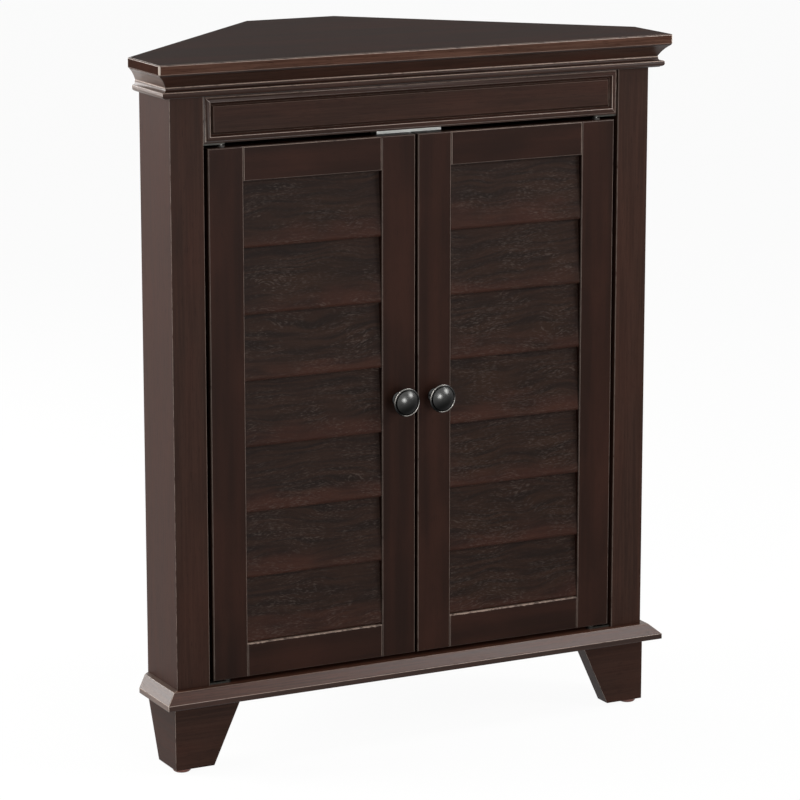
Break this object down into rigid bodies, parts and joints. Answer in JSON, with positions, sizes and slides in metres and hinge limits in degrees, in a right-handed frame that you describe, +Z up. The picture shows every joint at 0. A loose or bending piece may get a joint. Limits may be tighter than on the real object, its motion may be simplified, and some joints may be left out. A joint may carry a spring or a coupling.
{
  "type": "corner cabinet",
  "caption": "Free-standing corner cabinet with clipped back corner, moulded top, frieze over hinged slatted doors, an inner shelf and bracket feet.",
  "frame": {"origin": "on the floor under the middle of the cabinet's bounding box", "axes": "+Z up, -Y is the side the doors face, +X to the right as the doors are seen"},
  "size_m": [0.732, 0.4036, 0.9144],
  "materials": {
    "stained_wood": "satin dark walnut stain",
    "stained_board": "matt dark stain",
    "inside_wood": "bare wood",
    "bronze_metal": "satin dark bronze",
    "steel": "zinc plated",
    "catch_aluminium": "satin",
    "bush_plastic": "matt nylon",
    "brown_plastic": "matt brown plastic"
  },
  "bodies": {
    "cabinet": {"back_panel_left": "stained_board", "back_panel_rear": "stained_board", "back_panel_right": "stained_board", "base_front": "stained_wood", "base_left": "stained_wood", "base_right": "stained_wood", "bottom_panel": "stained_board", "crown_front": "stained_wood", "crown_left": "stained_wood", "crown_right": "stained_wood", "foot_blocks": "inside_wood", "foot_front_left": "stained_wood", "foot_front_right": "stained_wood", "foot_rear": "stained_wood", "foot_side_left": "stained_wood", "foot_side_right": "stained_wood", "frieze_beads": "stained_wood", "frieze_board": "stained_wood", "frieze_rail": "stained_wood", "glides": "brown_plastic", "hinge_plates": "steel", "magnetic_catch": "catch_aluminium", "post_left": "stained_wood", "post_right": "stained_wood", "shelf": "stained_board", "shelf_pegs": "steel", "side_panel_left": "stained_wood", "side_panel_right": "stained_wood", "top_battens": "inside_wood", "top_panel": "stained_wood"},
    "left_door": {"left_door_bottom_rail": "stained_wood", "left_door_hinge_bushes": "bush_plastic", "left_door_hinge_stile": "stained_wood", "left_door_knob": "bronze_metal", "left_door_knob_screw": "steel", "left_door_knob_stile": "stained_wood", "left_door_slat_1": "stained_wood", "left_door_slat_2": "stained_wood", "left_door_slat_3": "stained_wood", "left_door_slat_4": "stained_wood", "left_door_slat_5": "stained_wood", "left_door_slat_6": "stained_wood", "left_door_slat_7": "stained_wood", "left_door_strike": "steel", "left_door_top_rail": "stained_wood"},
    "right_door": {"right_door_bottom_rail": "stained_wood", "right_door_hinge_bushes": "bush_plastic", "right_door_hinge_stile": "stained_wood", "right_door_knob": "bronze_metal", "right_door_knob_screw": "steel", "right_door_knob_stile": "stained_wood", "right_door_slat_1": "stained_wood", "right_door_slat_2": "stained_wood", "right_door_slat_3": "stained_wood", "right_door_slat_4": "stained_wood", "right_door_slat_5": "stained_wood", "right_door_slat_6": "stained_wood", "right_door_slat_7": "stained_wood", "right_door_strike": "steel", "right_door_top_rail": "stained_wood"}
  },
  "joints": [
    {"name": "left_door_hinge", "type": "hinge", "parent": "cabinet", "child": "left_door", "pos_m": [-0.2697, -0.16185, 0.4605], "axis": [0, 0, -1], "range_deg": [0, 130]},
    {"name": "right_door_hinge", "type": "hinge", "parent": "cabinet", "child": "right_door", "pos_m": [0.2697, -0.16185, 0.4605], "axis": [0, 0, 1], "range_deg": [0, 130]}
  ]
}
